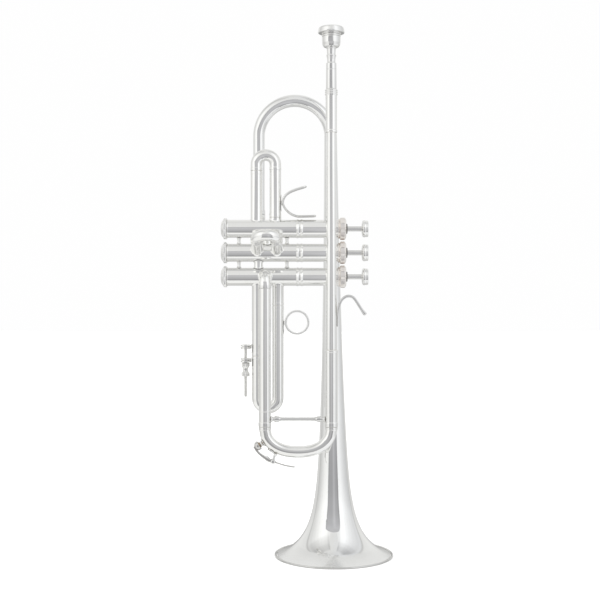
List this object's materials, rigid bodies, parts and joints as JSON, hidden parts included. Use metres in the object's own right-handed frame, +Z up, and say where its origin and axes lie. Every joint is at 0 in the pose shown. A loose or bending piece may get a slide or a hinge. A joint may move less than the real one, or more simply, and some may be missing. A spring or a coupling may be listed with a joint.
{
  "type": "trumpet",
  "caption": "Silver-plated piston-valve trumpet standing on its bell, with mouthpiece, sprung valves, valve slides with saddle and ring, main tuning slide and water key.",
  "frame": {"origin": "middle of the footprint on the floor, under the valve cluster, with the bell rim resting on the floor", "axes": "+Z up along the bell's axis towards the mouthpiece, +X along the valves towards the finger buttons, -Y the side of the leadpipe and the main tuning slide"},
  "size_m": [0.1766, 0.1222, 0.5379],
  "materials": {
    "silver_plate": "polished silver plate on brass",
    "nickel_alloy": "lapped nickel-copper alloy",
    "spring_steel": "bright drawn wire",
    "felt": "pressed felt",
    "pearl": "polished pearl inlay",
    "cork": "natural cork"
  },
  "bodies": {
    "horn": {"bell": "silver_plate", "bell_rim_wire": "silver_plate", "bell_knuckle": "silver_plate", "leadpipe_knuckle": "silver_plate", "crossover_tube_2_3": "silver_plate", "crossover_tube_1_2": "silver_plate", "mouthpiece_receiver": "silver_plate", "leadpipe": "silver_plate", "upper_slide_tube": "silver_plate", "lower_slide_tube": "silver_plate", "main_slide_brace": "silver_plate", "leadpipe_brace_upper": "silver_plate", "leadpipe_brace_lower": "silver_plate", "finger_hook": "silver_plate", "stop_post": "silver_plate", "stop_rod": "silver_plate", "valve_1_casing": "silver_plate", "valve_1_bottom_cap": "silver_plate", "valve_1_top_cap": "silver_plate", "valve_1_cap_felt": "felt", "valve_1_guide": "spring_steel", "valve_1_spring": "spring_steel", "valve_2_casing": "silver_plate", "valve_2_bottom_cap": "silver_plate", "valve_2_top_cap": "silver_plate", "valve_2_cap_felt": "felt", "valve_2_guide": "spring_steel", "valve_2_spring": "spring_steel", "valve_3_casing": "silver_plate", "valve_3_bottom_cap": "silver_plate", "valve_3_top_cap": "silver_plate", "valve_3_cap_felt": "felt", "valve_3_guide": "spring_steel", "valve_3_spring": "spring_steel"},
    "mouthpiece": {"mouthpiece": "silver_plate"},
    "valve_1": {"valve_1_piston": "nickel_alloy", "valve_1_stem": "silver_plate", "valve_1_button": "silver_plate", "valve_1_pearl": "pearl"},
    "valve_2": {"valve_2_piston": "nickel_alloy", "valve_2_stem": "silver_plate", "valve_2_button": "silver_plate", "valve_2_pearl": "pearl"},
    "valve_3": {"valve_3_piston": "nickel_alloy", "valve_3_stem": "silver_plate", "valve_3_button": "silver_plate", "valve_3_pearl": "pearl"},
    "first_slide": {"first_slide": "silver_plate", "thumb_saddle": "silver_plate"},
    "second_slide": {"second_slide": "silver_plate"},
    "third_slide": {"third_slide": "silver_plate", "finger_ring": "silver_plate", "stop_eye": "silver_plate"},
    "stop_nuts": {"stop_nuts": "silver_plate"},
    "main_tuning_slide": {"main_tuning_slide": "silver_plate", "water_key_bracket": "silver_plate", "water_key_spring": "spring_steel"},
    "water_key": {"water_key_lever": "silver_plate", "water_key_cork": "cork"}
  },
  "joints": [
    {"name": "mouthpiece_taper", "type": "slide", "parent": "horn", "child": "mouthpiece", "axis": [0, 0, 1], "range_m": [0, 0.03]},
    {"name": "valve_1_press", "type": "slide", "parent": "horn", "child": "valve_1", "axis": [-1, 0, 0], "range_m": [0, 0.0132], "stiffness_N_per_m": 60, "springref_m": -0.02, "deforming": ["valve_1_spring"]},
    {"name": "valve_2_press", "type": "slide", "parent": "horn", "child": "valve_2", "axis": [-1, 0, 0], "range_m": [0, 0.0132], "stiffness_N_per_m": 60, "springref_m": -0.02, "deforming": ["valve_2_spring"]},
    {"name": "valve_3_press", "type": "slide", "parent": "horn", "child": "valve_3", "axis": [-1, 0, 0], "range_m": [0, 0.0132], "stiffness_N_per_m": 60, "springref_m": -0.02, "deforming": ["valve_3_spring"]},
    {"name": "first_slide_draw", "type": "slide", "parent": "horn", "child": "first_slide", "axis": [0, 0, 1], "range_m": [0, 0.02]},
    {"name": "second_slide_draw", "type": "slide", "parent": "horn", "child": "second_slide", "axis": [0, -0.9135, 0.4067], "range_m": [0, 0.012]},
    {"name": "third_slide_draw", "type": "slide", "parent": "horn", "child": "third_slide", "axis": [0, 0, -1], "range_m": [0, 0.019]},
    {"name": "stop_nuts_travel", "type": "slide", "parent": "horn", "child": "stop_nuts", "axis": [0, 0, -1], "range_m": [0, 0.019]},
    {"name": "main_tuning_slide_draw", "type": "slide", "parent": "horn", "child": "main_tuning_slide", "axis": [0, 0, -1], "range_m": [0, 0.03]},
    {"name": "water_key_hinge", "type": "hinge", "parent": "main_tuning_slide", "child": "water_key", "pos_m": [-0.0348, -0.0355, 0.1022], "axis": [0, -1, 0], "range_deg": [0, 18], "stiffness_Nm_per_rad": 0.05, "springref_deg": -28.65, "deforming": ["water_key_spring"]}
  ],
  "couplings": [
    {"joint": "stop_nuts_travel", "follows": "third_slide_draw", "ratio": 1}
  ]
}
